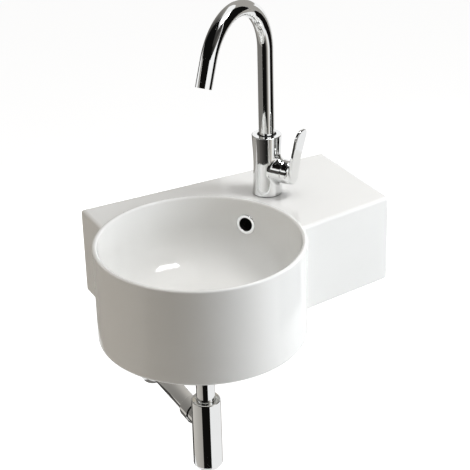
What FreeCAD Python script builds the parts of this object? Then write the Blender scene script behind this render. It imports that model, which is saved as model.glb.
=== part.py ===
import FreeCAD, Part
import math
import os
import re
import Sketcher
from FreeCAD import Placement, Rotation, Vector

# Driving sizes in millimetres and degrees. Levels of the basin, waste and trap are drops below the deck.
SIZES = {
    # Shared clearances
    "overrun": 20,
    "running_gap": 0.1,
    "slip_gap": 0.3,
    # Ceramic slab with its deck, and the wall fixings
    "slab_left": 228.5,
    "slab_right": 237,
    "slab_depth": 218,
    "front_turn": 9,
    "slab_height": 155,
    "slab_wall": 12,
    "slab_round": 6,
    "back_wall": 14,
    "deck_thickness": 12,
    "deck_height": 55,
    "fixing_spacing": 280,
    "fixing_radius": 7.5,
    # Ceramic bowl
    "bowl_across": -111,
    "bowl_reach": 207,
    "bowl_radius": 170.5,
    "bowl_height": 163,
    "bowl_foot_round": 6,
    "crease_round": 9,
    "crease_overlap": 0.1,
    "crease_run": 2,
    "lip_rise": 2.5,
    "lip_width": 7.5,
    "lip_round": 3.6,
    "bowl_taper": 10,
    "bowl_depth": 122,
    "bowl_round": 75,
    "floor_fall": 5,
    "skirt_wall": 11,
    "shell_wall": 10,
    "boss_radius": 36,
    "waste_boss_length": 39,
    "boss_round": 3,
    # Overflow in the bowl's back wall and its cast duct
    "overflow_turn": 35,
    "overflow_drop": 41,
    "overflow_radius": 13.3,
    "overflow_seat_depth": 1.2,
    "overflow_ring_radius": 17.2,
    "overflow_ring_bore": 11.8,
    "overflow_ring_proud": 2.5,
    "overflow_spigot_wall": 1.2,
    "overflow_spigot_length": 7,
    "duct_wall": 6,
    "duct_width": 24,
    "duct_depth": 10,
    "duct_knee_reach": 32,
    "duct_knee_rise": 4,
    "duct_knee_step": 8,
    # Waste fitting
    "waste_hole_radius": 23,
    "waste_seat_radius": 35,
    "waste_bore": 17,
    "waste_tube_radius": 20.9,
    "waste_flange_radius": 32,
    "waste_flange_thick": 3,
    "waste_thread_length": 60,
    "flange_gasket_thick": 2,
    "waste_slot_width": 12,
    "waste_slot_top": 12,
    "waste_slot_length": 22,
    "spider_drop": 46,
    "spider_thick": 6,
    "spider_bar": 4,
    "spider_hub_radius": 9,
    "boss_washer_radius": 33,
    "boss_washer_thick": 6,
    "slip_washer_thick": 2,
    "backnut_flats": 58,
    "backnut_thick": 10,
    # Push plug
    "click_radius": 8,
    "click_top_drop": 13,
    "click_bore_depth": 30,
    "click_spigot_radius": 4.5,
    "plug_travel": 8,
    "plug_radius": 31,
    "plug_edge": 3,
    "plug_crown": 4,
    "plug_crown_round": 60,
    "plug_edge_round": 1.4,
    "plug_hub_radius": 8,
    "plug_hub_length": 5,
    "plug_stem_radius": 4,
    "plug_stem_length": 42,
    "plug_seal_thick": 2,
    "plug_seal_width": 4,
    "plug_seal_inset": 1,
    # Tail pipe and its union
    "pipe_radius": 16,
    "pipe_wall": 1.2,
    "pipe_gap": 0.2,
    "tail_collar_radius": 20,
    "tail_collar_thick": 2.5,
    "tail_washer_thick": 2.5,
    "union_radius": 25,
    "union_grip": 15,
    "union_lip": 3,
    "union_round": 2,
    "tail_dip": 98,
    # Bottle trap
    "trap_top": 294,
    "trap_height": 130,
    "trap_radius": 25,
    "trap_wall": 2,
    "trap_foot_round": 4.5,
    "trap_floor": 7,
    "cap_height": 10,
    "cap_round": 2,
    "cap_mouth_chamfer": 1.5,
    "cap_spigot": 12,
    "trap_seal_thick": 4,
    "trap_shoulder": 3,
    "cleanout_radius": 16.5,
    "cleanout_flange": 20,
    "cleanout_flange_thick": 3,
    "cleanout_depth": 6,
    "cleanout_slot_width": 3,
    "cleanout_slot_depth": 1.5,
    "cleanout_seal_thick": 1.5,
    # Outlet to the wall
    "outlet_drop": 345,
    "branch_radius": 18.5,
    "branch_length": 52,
    "branch_thread": 14,
    "outlet_seal_thick": 4,
    "outlet_nut_radius": 20.5,
    "outlet_nut_end": 10,
    "outlet_nut_round": 3.5,
    "pipe_insert": 20,
    "wall_entry": 45,
    "rosette_radius": 30,
    "rosette_height": 12,
    "rosette_sheet": 1.5,
    "rosette_rim": 3,
    "rosette_round": 7,
    # Tap body
    "tap_clear": 12.5,
    "tap_reach": 97,
    "tap_hole_radius": 17.5,
    "tap_base_radius": 25.6,
    "tap_waist_radius": 22.2,
    "tap_waist_round": 500,
    "tap_top_radius": 25.2,
    "tap_height": 106,
    "tap_top_round": 1.2,
    "base_gasket_thick": 1.5,
    "base_gasket_radius": 24.4,
    "shank_radius": 16.8,
    "shank_length": 8,
    "port_radius": 4.6,
    "port_across": 7.5,
    "port_along": 5,
    "port_depth": 16,
    "port_way_radius": 3.2,
    "waterway_radius": 6,
    # Clamp under the deck
    "stud_radius": 4,
    "stud_along": 9,
    "stud_grip": 10,
    "stud_length": 70,
    "clamp_radius": 24,
    "clamp_slot": 26,
    "clamp_gasket_thick": 2,
    "clamp_plate_thick": 2.5,
    "stud_nut_flats": 13,
    "stud_nut_thick": 6.5,
    # Swan-neck spout
    "spout_turn": 211.7,
    "spout_radius": 13.2,
    "spout_wall": 1.2,
    "spout_riser": 255,
    "spout_arch_radius": 90,
    "spout_bend": 157,
    "spout_end": 44,
    "spout_bore_radius": 16.2,
    "spout_bore_depth": 34,
    "bush_thick": 6,
    "bush_recess": 3,
    "foot_radius": 15.9,
    "foot_land": 2,
    "oring_groove_width": 2.6,
    "oring_groove_radius": 14,
    "oring_thick": 1.05,
    "retainer_groove_width": 3.2,
    "retainer_groove_radius": 14.3,
    "retainer_radius": 2.5,
    "retainer_tip_radius": 1.2,
    "aerator_length": 12,
    "aerator_recess": 0.6,
    "aerator_wall": 1.6,
    "aerator_lip": 1,
    "aerator_core_thick": 6,
    # Side boss with its cartridge
    "boss_height": 45,
    "seat_reach": 30,
    "boss_blend": 9,
    "seat_radius": 20.5,
    "cartridge_radius": 16.8,
    "cartridge_back": 8,
    "cartridge_front": 31,
    "rotor_radius": 10.8,
    "rotor_back": 14,
    "rotor_slot_length": 16,
    "rotor_slot_back": 15,
    "pivot_reach": 23,
    "pivot_pin_radius": 1.5,
    "dome_radius": 23.1,
    "dome_mouth": 12.6,
    "dome_throat": 9.5,
    "dome_throat_thick": 2,
    "stem_width": 7,
    "stem_back": 6.5,
    "stem_front": 28,
    # Lever
    "hub_radius": 20.5,
    "hub_start": 36,
    "hub_end": 49.5,
    "hub_round": 6,
    "lever_gap": 0.4,
    "socket_gap": 0.1,
    "lever_drop": 20,
    "lever_rise": 81,
    "lever_bend": 25,
    "lever_foot_reach": 48,
    "lever_bend_reach": 54,
    "lever_tip_reach": 67,
    "lever_foot_thick": 7,
    "lever_tip_thick": 5,
    "lever_bend_round": 120,
    "lever_foot_width": 24,
    "lever_tip_width": 36,
    "lever_foot_round": 11,
    "lever_tip_round": 15,
    "lever_edge_round": 1.6,
    "grub_radius": 1.5,
    "grub_length": 9,
    "grub_reach": 49.3,
}

doc = FreeCAD.newDocument("hand_basin")
sheet = doc.addObject("Spreadsheet::Sheet", "sizes")
for row, (alias, size) in enumerate(SIZES.items(), 1):
    sheet.set(f"A{row}", alias)
    sheet.set(f"B{row}", str(size))
    sheet.setAlias(f"B{row}", alias)
doc.recompute()


def formula(text):
    """Turn a sum of named sizes into an expression on the sheet."""
    return re.sub(r"[a-z]\w*", lambda word: "sizes." + word[0] if word[0] in SIZES else word[0], text)


def value(text):
    """Work out a sum of named sizes as a plain number."""
    result = sheet.evalExpression(formula(text))
    return float(getattr(result, "Value", result))


def bind(item, name, text):
    """Tie a property of an object to a sum of named sizes."""
    item.setExpression(name, formula(text))


def dimension(sketch, kind, where, text):
    """Add a sketch dimension and tie it to a sum of named sizes."""
    number = sketch.addConstraint(Sketcher.Constraint(kind, *where, value(text)))
    if text != "0":
        bind(sketch, f"Constraints[{number}]", text)


def fix_point(sketch, item, spot, across, along):
    """Hold a point of a sketch at two dimensions from the sketch's origin."""
    dimension(sketch, "DistanceX", (-1, 1, item, spot), across)
    dimension(sketch, "DistanceY", (-1, 1, item, spot), along)


def draw_circle(sketch, radius, across="0", along="0"):
    """Draw a circle with its centre and radius dimensioned."""
    centre = Vector(value(across), value(along), 0)
    ring = sketch.addGeometry(Part.Circle(centre, Vector(0, 0, 1), value(radius)))
    fix_point(sketch, ring, 3, across, along)
    dimension(sketch, "Radius", (ring,), radius)


def draw_rounding(sketch, corner, line_in, line_out):
    """Draw the tangent arc between two lines of an outline."""
    radius = value(corner[2])
    entry = sketch.getPoint(line_in, 2)
    leave = sketch.getPoint(line_out, 1)
    heading = (entry - sketch.getPoint(line_in, 1)).normalize()
    left = Vector(-heading.y, heading.x, 0)
    turns_left = (leave - entry).dot(left) > 0
    centre = entry + left * (radius if turns_left else -radius)
    first, last = (entry, leave) if turns_left else (leave, entry)
    angles = [math.atan2(spot.y - centre.y, spot.x - centre.x) for spot in (first, last)]
    circle = Part.Circle(centre, Vector(0, 0, 1), radius)
    arc = sketch.addGeometry(Part.ArcOfCircle(circle, angles[0], angles[1]))
    sketch.addConstraint(Sketcher.Constraint("Tangent", line_in, 2, arc, 1 if turns_left else 2))
    sketch.addConstraint(Sketcher.Constraint("Tangent", line_out, 1, arc, 2 if turns_left else 1))
    dimension(sketch, "Radius", (arc,), corner[2])


def draw_outline(sketch, corners):
    """Draw a closed outline through corners (x, y) or (x, y, rounding), each a sum of named sizes."""
    places = [Vector(value(corner[0]), value(corner[1]), 0) for corner in corners]
    count = len(corners)
    setbacks = []
    for index, corner in enumerate(corners):
        back = places[index - 1] - places[index]
        ahead = places[(index + 1) % count] - places[index]
        rounded = len(corner) == 3
        setbacks.append(value(corner[2]) / math.tan(back.getAngle(ahead) / 2) if rounded else 0)
    lines = []
    for index in range(count):
        after = (index + 1) % count
        heading = (places[after] - places[index]).normalize()
        start = places[index] + heading * setbacks[index]
        end = places[after] - heading * setbacks[after]
        lines.append(sketch.addGeometry(Part.LineSegment(start, end)))
    for index, corner in enumerate(corners):
        point = sketch.addGeometry(Part.Point(places[index]), True)
        fix_point(sketch, point, 1, corner[0], corner[1])
        if len(corner) == 3:
            sketch.addConstraint(Sketcher.Constraint("PointOnObject", point, 1, lines[index - 1]))
            sketch.addConstraint(Sketcher.Constraint("PointOnObject", point, 1, lines[index]))
            draw_rounding(sketch, corner, lines[index - 1], lines[index])
        else:
            sketch.addConstraint(Sketcher.Constraint("Coincident", lines[index - 1], 2, point, 1))
            sketch.addConstraint(Sketcher.Constraint("Coincident", lines[index], 1, point, 1))


def draw_hexagon(sketch, flats, across="0", along="0"):
    """Draw a hexagon by its width across flats."""
    half = f"({flats}) / 2"
    corners = []
    for angle in range(0, 360, 60):
        reach = f"{half} / cos(30)"
        corners.append((f"{across} + {reach} * cos({angle})", f"{along} + {reach} * sin({angle})"))
    draw_outline(sketch, corners)


def seat(base, rotation=Rotation()):
    """Describe where a sub-part stands: three sums of named sizes and a turn."""
    return base, rotation


def place(item, where):
    """Stand an object at a seat, with its position tied to the sheet."""
    base, rotation = where
    item.Placement = Placement(Vector(*[value(text) for text in base]), rotation)
    for axis, text in zip("xyz", base):
        bind(item, f"Placement.Base.{axis}", text)


def new_body(label, where):
    """Start a sub-part as a body standing at a seat."""
    body = doc.addObject("PartDesign::Body", label)
    body.Label = label
    place(body, where)
    return body


def sketch_on(body, role, lift="0", turn=Rotation()):
    """Start a sketch on one of the body's own origin planes, lifted along the plane's normal."""
    sketch = body.newObject("Sketcher::SketchObject", body.Label + "_sketch")
    plane = next(item for item in body.Origin.OriginFeatures if item.Role == role)
    sketch.AttachmentSupport = (plane, "")
    sketch.MapMode = "FlatFace"
    sketch.AttachmentOffset = Placement(Vector(0, 0, value(lift)), turn)
    if lift != "0":
        bind(sketch, "AttachmentOffset.Base.z", lift)
    return sketch


def revolve(body, corners, kind="Revolution"):
    """Turn a profile of (radius, height) corners about the body's own axis, adding or cutting."""
    sketch = sketch_on(body, "XZ_Plane")
    draw_outline(sketch, corners)
    feature = body.newObject("PartDesign::" + kind, f"{body.Label}_{kind.lower()}")
    feature.Profile = sketch
    feature.ReferenceAxis = (sketch, ["V_Axis"])
    feature.Angle = 360
    return feature


def extrude(body, sketch, length, kind="Pad", reverse=False, both_ways=False):
    """Pad or pocket a sketch by a sum of named sizes."""
    feature = body.newObject("PartDesign::" + kind, f"{body.Label}_{kind.lower()}")
    feature.Profile = sketch
    feature.Length = value(length)
    bind(feature, "Length", length)
    feature.Reversed = reverse
    if both_ways:
        feature.SideType = "Symmetric"
    return feature


def cut_ball(body, radius, height):
    """Cut a ball out of a body, centred on the body's own axis."""
    sketch = sketch_on(body, "XZ_Plane")
    centre = Vector(0, value(height), 0)
    circle = Part.Circle(centre, Vector(0, 0, 1), value(radius))
    arc = sketch.addGeometry(Part.ArcOfCircle(circle, -math.pi / 2, math.pi / 2))
    pole = Vector(0, value(radius), 0)
    line = sketch.addGeometry(Part.LineSegment(centre + pole, centre - pole))
    fix_point(sketch, arc, 3, "0", height)
    dimension(sketch, "Radius", (arc,), radius)
    sketch.addConstraint(Sketcher.Constraint("Coincident", arc, 2, line, 1))
    sketch.addConstraint(Sketcher.Constraint("Coincident", arc, 1, line, 2))
    sketch.addConstraint(Sketcher.Constraint("PointOnObject", arc, 1, -2))
    sketch.addConstraint(Sketcher.Constraint("PointOnObject", arc, 2, -2))
    feature = body.newObject("PartDesign::Groove", body.Label + "_ball")
    feature.Profile = sketch
    feature.ReferenceAxis = (sketch, ["V_Axis"])
    feature.Angle = 360


def turned(label, where, corners):
    """Make a turned sub-part from a profile of (radius, height) corners."""
    body = new_body(label, where)
    revolve(body, corners)
    return body


def ring(label, where, inner, outer, low, high):
    """Make a plain washer or sleeve."""
    return turned(label, where, [(inner, low), (outer, low), (outer, high), (inner, high)])


def round_edges(body, size, chosen):
    """Round the edges of the last feature that a test picks out."""
    doc.recompute()
    base = body.Tip
    names = [f"Edge{number}" for number, edge in enumerate(base.Shape.Edges, 1) if chosen(edge)]
    feature = body.newObject("PartDesign::Fillet", body.Label + "_fillet")
    feature.Base = (base, names)
    feature.Radius = value(size)
    bind(feature, "Radius", size)
    return feature


# Axes that several pieces share. The tap stands clear of the bowl's side
TAP_ACROSS = "(bowl_across + bowl_radius + tap_clear)"
BOWL = seat(("bowl_across", "-bowl_reach", "deck_height"))
TAP = seat((TAP_ACROSS, "-tap_reach", "deck_height"), Rotation(Vector(0, 0, 1), value("spout_turn")))
OUTLET = seat(("bowl_across", "-bowl_reach", "deck_height - outlet_drop"), Rotation(Vector(1, 0, 0), -90))
LEVER_DIRECTION = TAP[1].multVec(Vector(0, 1, 0))
UP = Vector(0, 0, 1)
LEVER = seat((TAP_ACROSS, "-tap_reach", "deck_height + boss_height"),
             Rotation(UP, LEVER_DIRECTION.cross(UP), LEVER_DIRECTION, "ZXY"))

# Radii of the bowl's inside at the mouth and at its foot, and heights in the waste, that several pieces share
MOUTH_RADIUS = "(bowl_radius - lip_width)"
FOOT_RADIUS = "(bowl_radius - lip_width - bowl_taper)"
FOOT_LEVEL = "-(bowl_depth - floor_fall)"
FLANGE_UNDER = "-(bowl_depth - flange_gasket_thick)"
FLANGE_TOP = "-(bowl_depth - flange_gasket_thick - waste_flange_thick)"
WASTE_BOTTOM = "-(bowl_depth + waste_boss_length + waste_thread_length)"
SPIDER_TOP = "-(bowl_depth + spider_drop)"
BOSS_FOOT = "-(bowl_depth + waste_boss_length)"

# Levels in the spout's socket, from the bore's floor up
SOCKET_FLOOR = "(tap_height - spout_bore_depth)"
TUBE_LOW = "(tap_height - spout_bore_depth + bush_thick + slip_gap)"
FOOT_TOP = "(tap_height - bush_recess - bush_thick - slip_gap)"
RETAINER_LEVEL = f"(({TUBE_LOW} + {FOOT_TOP}) / 2)"

# The spout's mouth, measured from the tap's axis and from the deck
NOZZLE_ACROSS = "(spout_arch_radius * (1 - cos(spout_bend)) + spout_end * sin(spout_bend))"
NOZZLE_LEVEL = "(spout_riser + spout_arch_radius * sin(spout_bend) + spout_end * cos(spout_bend))"
NOZZLE = seat((f"{TAP_ACROSS} + {NOZZLE_ACROSS} * cos(spout_turn)",
               f"-tap_reach + {NOZZLE_ACROSS} * sin(spout_turn)", f"deck_height + {NOZZLE_LEVEL}"),
              TAP[1].multiply(Rotation(Vector(0, 1, 0), value("spout_bend"))))


def wall_slope():
    """Give the slope of the bowl's inner wall from the vertical, in radians."""
    return math.atan2(value("bowl_taper"), value("lip_rise + bowl_depth - floor_fall"))


def overflow_seat():
    """Stand the overflow square to the sloping inner wall, at the flat cut for its ring."""
    slope = wall_slope()
    turn = math.radians(value("overflow_turn"))
    wall = value(MOUTH_RADIUS) - value("lip_rise + overflow_drop") * math.tan(slope)
    flat = wall + value("overflow_seat_depth") * math.cos(slope)
    outward = Vector(math.cos(turn) * math.cos(slope), math.sin(turn) * math.cos(slope), -math.sin(slope))
    side = Vector(-math.sin(turn), math.cos(turn), 0)
    axis = Vector(*[value(text) for text in BOWL[0]])
    spot = axis + Vector(math.cos(turn), math.sin(turn), 0) * flat - UP * value("overflow_drop")
    return Placement(spot, Rotation(side, outward.cross(side), outward, "ZXY"))


def make_duct(body, kind, width, corners):
    """Add or cut the overflow's duct behind the bowl, drawn in the upright plane through the overflow."""
    turn = Rotation(Vector(0, 1, 0), value("overflow_turn"))
    sketch = sketch_on(body, "XZ_Plane", turn=turn)
    draw_outline(sketch, corners)
    return extrude(body, sketch, width, kind, both_ways=True)


def duct_corners(inside, outside, top, bottom, step):
    """Follow the bowl's wall down and in under its floor, between two distances from the bowl's surface."""
    wall = MOUTH_RADIUS
    low = f"-bowl_depth - {bottom}"
    under = f"-bowl_depth - {inside}"
    root = "waste_hole_radius - duct_wall / 2"
    turn = "waste_hole_radius + boss_radius"
    return [
        (f"{wall} + {inside}", top),
        (f"{wall} + {outside}", top),
        (f"{wall} + {outside}", "-overflow_drop - overflow_radius - duct_depth"),
        (f"{wall} - duct_knee_reach + {outside}", f"-bowl_depth - {outside} / 2"),
        (turn, low), (root, low), (root, under), (turn, under),
        (f"{wall} - duct_knee_reach - {step}", f"-bowl_depth + duct_knee_rise + {step}"),
        (f"{wall} + {inside}", "-overflow_drop - overflow_radius - duct_wall"),
    ]


def crease_corners(reach, wall):
    """Give two corners, along and across a slab side, that shape its rounded crease with the bowl."""
    lean = f"(({reach} + crease_round) / (bowl_radius + crease_round - crease_overlap))"
    level = f"sqrt(1 - {lean}^2)"
    touch = f"(bowl_radius - crease_overlap - {wall})"
    rise = f"(({touch} * {lean} - {reach} + {wall}) / {level})"
    return [(f"({touch} * {level} - crease_run * {lean})", f"(-{touch} * {lean} - crease_run * {level})"),
            (f"({touch} * {level} + {rise} * {lean})", f"({wall} - {reach})")]


def slab_corners(wall, back, *rounding):
    """Give the slab's outline from above, with its sides and its back moved in by their walls."""
    left = f"{wall} - slab_left - bowl_across"
    right = f"slab_right - bowl_across - {wall}"
    front = f"bowl_reach - slab_depth + {wall} * (1 - sin(front_turn)) / cos(front_turn)"
    rear = f"bowl_reach - {back}"
    ahead = "((slab_right - bowl_across) * sin(front_turn) + (slab_depth - bowl_reach) * cos(front_turn))"
    inside, outside = [(f"{along} * cos(front_turn) - {across} * sin(front_turn)",
                        f"{along} * sin(front_turn) + {across} * cos(front_turn)")
                       for along, across in crease_corners(ahead, wall)]
    end, start = [(across, along) for along, across in crease_corners("(slab_left + bowl_across)", wall)]
    crease = f"crease_round + {wall}"
    return [inside, (*outside, crease), (right, front, *rounding), (right, rear, *rounding),
            (left, rear, *rounding), (*start, crease), end]


def make_basin():
    """Cast the slab, the bowl that bulges out of it and the hollow underside in one ceramic piece."""
    body = new_body("basin_casting", BOWL)
    sketch = sketch_on(body, "XY_Plane")
    draw_outline(sketch, slab_corners("0", "0"))
    extrude(body, sketch, "slab_height", reverse=True)
    round_edges(body, "slab_round", lambda edge: Vector(*edge.CenterOfMass[:2]).Length > value("bowl_radius")
                and (edge.CenterOfMass.y < value("bowl_reach - slab_round")
                     or abs(edge.CenterOfMass.z) < value("slab_round")))
    revolve(body, [("0", "-bowl_height"), ("bowl_radius", "-bowl_height", "bowl_foot_round"),
                   ("bowl_radius", "lip_rise", "lip_round"), ("0", "lip_rise")])
    # Hollow under the deck and inside the bowl's skirt
    sketch = sketch_on(body, "XY_Plane", "-deck_thickness")
    draw_outline(sketch, slab_corners("slab_wall", "back_wall", "slab_wall"))
    extrude(body, sketch, "bowl_height", "Pocket")
    sketch = sketch_on(body, "XY_Plane", "-deck_thickness")
    draw_circle(sketch, "bowl_radius - skirt_wall")
    extrude(body, sketch, "bowl_height", "Pocket")
    # Bowl shell with the waste boss under its floor
    revolve(body, [("0", BOSS_FOOT), ("boss_radius", BOSS_FOOT, "boss_round"),
                   ("boss_radius", "-bowl_depth - shell_wall", "boss_round"),
                   (FOOT_RADIUS + " + shell_wall", FOOT_LEVEL + " - shell_wall", "bowl_round + shell_wall"),
                   ("bowl_radius - lip_rise / 2", "-deck_thickness / 2"), ("0", "-deck_thickness / 2")])
    make_duct(body, "Pad", "duct_width + 2 * duct_wall", duct_corners(
        "shell_wall / 2", "(shell_wall + duct_depth + duct_wall)",
        "-overflow_drop + overflow_radius + duct_wall", "(waste_boss_length - duct_wall / 2)",
        "duct_knee_step"))
    # Inside of the bowl down to the waste bore
    revolve(body, [("0", "lip_rise + overrun"), ("0", BOSS_FOOT + " - overrun"),
                   ("waste_hole_radius", BOSS_FOOT + " - overrun"), ("waste_hole_radius", "-bowl_depth"),
                   ("waste_seat_radius", "-bowl_depth"), (FOOT_RADIUS, FOOT_LEVEL, "bowl_round"),
                   (MOUTH_RADIUS, "lip_rise", "lip_round"), (MOUTH_RADIUS + " + lip_width / 2", "lip_rise"),
                   (MOUTH_RADIUS + " + lip_width / 2", "lip_rise + overrun")], "Groove")
    return body


def finish_basin(casting):
    """Bore the casting for the overflow, the tap and the wall fixings."""
    make_duct(casting, "Pocket", "duct_width", duct_corners(
        "shell_wall", "(shell_wall + duct_depth)",
        "-overflow_drop + overflow_radius", "(waste_boss_length - 2 * duct_wall)", "0"))
    sketch = sketch_on(casting, "XY_Plane", "overrun")
    draw_circle(sketch, "tap_hole_radius", "bowl_radius + tap_clear", "bowl_reach - tap_reach")
    extrude(casting, sketch, "2 * overrun + deck_thickness", "Pocket")
    sketch = sketch_on(casting, "XZ_Plane", "-(bowl_reach - back_wall - overrun)")
    for side in ("-", "+"):
        draw_circle(sketch, "fixing_radius", f"{side} fixing_spacing / 2 - bowl_across", "-deck_height")
    extrude(casting, sketch, "back_wall + 2 * overrun", "Pocket")
    overflow = overflow_seat()
    tools = []
    for name, radius, length, start in (
            ("overflow_hole", "overflow_radius", "shell_wall + duct_depth", "0"),
            ("overflow_flat", "overflow_ring_radius + slip_gap", "overrun", "-overrun")):
        tool = doc.addObject("Part::Cylinder", name)
        bind(tool, "Radius", radius)
        bind(tool, "Height", length)
        tool.Placement = overflow.multiply(Placement(Vector(0, 0, value(start)), Rotation()))
        tools.append(tool)
    bored = doc.addObject("Part::Cut", "basin_bored")
    bored.Base, bored.Tool = casting, tools[0]
    basin = doc.addObject("Part::Cut", "basin")
    basin.Base, basin.Tool = bored, tools[1]
    return basin


def make_overflow_ring():
    """Turn the trim ring that lines the overflow."""
    body = turned("overflow_ring", seat(("0", "0", "0")), [
        ("overflow_ring_bore", "-overflow_ring_proud", "overflow_spigot_wall / 2"),
        ("overflow_ring_radius", "-overflow_ring_proud", "overflow_spigot_wall"),
        ("overflow_ring_radius", "0"),
        ("overflow_ring_bore + overflow_spigot_wall", "0"),
        ("overflow_ring_bore + overflow_spigot_wall", "overflow_spigot_length"),
        ("overflow_ring_bore", "overflow_spigot_length")])
    for axis in "xyz":
        body.setExpression(f"Placement.Base.{axis}", None)
    body.Placement = overflow_seat()
    return body


def make_waste_body():
    """Turn the waste, cut its four overflow slots and bridge its bore with a spider."""
    body = turned("waste_body", BOWL, [
        ("waste_bore", WASTE_BOTTOM), ("waste_tube_radius", WASTE_BOTTOM),
        ("waste_tube_radius", FLANGE_UNDER), ("waste_flange_radius", FLANGE_UNDER),
        ("waste_flange_radius", FLANGE_TOP, "waste_flange_thick / 2"),
        ("waste_bore", FLANGE_TOP, "waste_flange_thick / 2")])
    top = "-bowl_depth - waste_slot_top"
    low = top + " - waste_slot_length"
    half = "waste_slot_width / 2"
    for role in ("XZ_Plane", "YZ_Plane"):
        sketch = sketch_on(body, role)
        draw_outline(sketch, [("-" + half, low), (half, low), (half, top), ("-" + half, top)])
        extrude(body, sketch, "2 * waste_flange_radius", "Pocket", both_ways=True)
    reach = "(waste_bore + waste_tube_radius) / 2"
    for wide, deep in ((reach, "spider_bar / 2"), ("spider_bar / 2", reach)):
        sketch = sketch_on(body, "XY_Plane", SPIDER_TOP)
        draw_outline(sketch, [(f"-({wide})", f"-({deep})"), (wide, f"-({deep})"),
                              (wide, deep), (f"-({wide})", deep)])
        extrude(body, sketch, "spider_thick", reverse=True)
    sketch = sketch_on(body, "XY_Plane", SPIDER_TOP)
    draw_circle(sketch, "spider_hub_radius")
    extrude(body, sketch, "spider_thick", reverse=True)
    sketch = sketch_on(body, "XY_Plane", SPIDER_TOP)
    draw_circle(sketch, "click_spigot_radius")
    extrude(body, sketch, "spider_thick", "Pocket")
    return body


def nut(label, where, flats, bore, low, thick):
    """Make a hexagon nut from its underside up, with a plain bore."""
    body = new_body(label, where)
    sketch = sketch_on(body, "XY_Plane", low)
    draw_hexagon(sketch, flats)
    draw_circle(sketch, bore)
    extrude(body, sketch, thick)
    return body


def make_waste_fittings():
    """Make what clamps the waste in the basin, from the flange down."""
    bore = "waste_tube_radius + running_gap"
    washer_low = BOSS_FOOT + " - boss_washer_thick"
    washer_foot = "boss_washer_radius - boss_washer_thick / 2"
    slip_low = washer_low + " - slip_washer_thick"
    return [
        ring("flange_gasket", BOWL, bore, "waste_flange_radius - flange_gasket_thick",
             "-bowl_depth", FLANGE_UNDER),
        turned("boss_washer", BOWL, [(bore, washer_low), (washer_foot, washer_low),
                                     ("boss_washer_radius", BOSS_FOOT), (bore, BOSS_FOOT)]),
        ring("slip_washer", BOWL, bore, washer_foot, slip_low, washer_low),
        nut("waste_backnut", BOWL, "backnut_flats", bore, slip_low + " - backnut_thick", "backnut_thick"),
    ]


def make_plug():
    """Make the push plug: its fixed click guide, and the stem, cap and seal that travel."""
    click_top = "-bowl_depth - click_top_drop"
    bore = "plug_stem_radius + running_gap"
    seal_low = FLANGE_TOP + " + plug_travel + slip_gap"
    cap_low = seal_low + " + plug_seal_thick"
    cap_edge = cap_low + " + plug_edge"
    crown = cap_edge + " + plug_crown"
    hub_low = cap_low + " - plug_hub_length"
    stem_top = cap_edge
    guide = turned("click_guide", BOWL, [
        ("0", SPIDER_TOP + " - spider_thick"), ("click_spigot_radius", SPIDER_TOP + " - spider_thick"),
        ("click_spigot_radius", SPIDER_TOP), ("click_radius", SPIDER_TOP),
        ("click_radius", click_top), (bore, click_top), (bore, click_top + " - click_bore_depth"),
        ("0", click_top + " - click_bore_depth")])
    stem = turned("plug_stem", BOWL, [
        ("0", stem_top + " - plug_stem_length"), ("plug_stem_radius", stem_top + " - plug_stem_length"),
        ("plug_stem_radius", stem_top), ("0", stem_top)])
    cap = turned("plug_cap", BOWL, [
        ("0", stem_top), ("plug_stem_radius", stem_top), ("plug_stem_radius", hub_low),
        ("plug_hub_radius", hub_low), ("plug_hub_radius", cap_low), ("plug_radius", cap_low),
        ("plug_radius", cap_edge, "plug_edge_round"),
        ("plug_radius / 2", crown, "plug_crown_round"), ("0", crown)])
    seal_edge = "plug_radius - plug_seal_inset"
    seal = ring("plug_seal", BOWL, seal_edge + " - plug_seal_width", seal_edge, seal_low, cap_low)
    return [guide, stem, cap, seal]


def make_tail():
    """Make the tail pipe, hung from the waste by a union nut and dipping into the trap."""
    washer_low = WASTE_BOTTOM + " - tail_washer_thick"
    collar_low = washer_low + " - tail_collar_thick"
    union_low = collar_low + " - union_lip"
    bore = "pipe_radius - pipe_wall"
    tail = turned("tail_pipe", BOWL, [
        (bore, "-trap_top - tail_dip"), ("pipe_radius", "-trap_top - tail_dip"), ("pipe_radius", collar_low),
        ("tail_collar_radius", collar_low), ("tail_collar_radius", washer_low), (bore, washer_low)])
    washer = ring("tail_washer", BOWL, bore, "tail_collar_radius", washer_low, WASTE_BOTTOM)
    union = turned("tail_union_nut", BOWL, [
        ("pipe_radius + pipe_gap", union_low), ("union_radius", union_low, "union_round"),
        ("union_radius", WASTE_BOTTOM + " + union_grip", "union_round"),
        ("waste_tube_radius + running_gap", WASTE_BOTTOM + " + union_grip"),
        ("waste_tube_radius + running_gap", collar_low), ("pipe_radius + pipe_gap", collar_low)])
    return [tail, washer, union]


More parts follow.
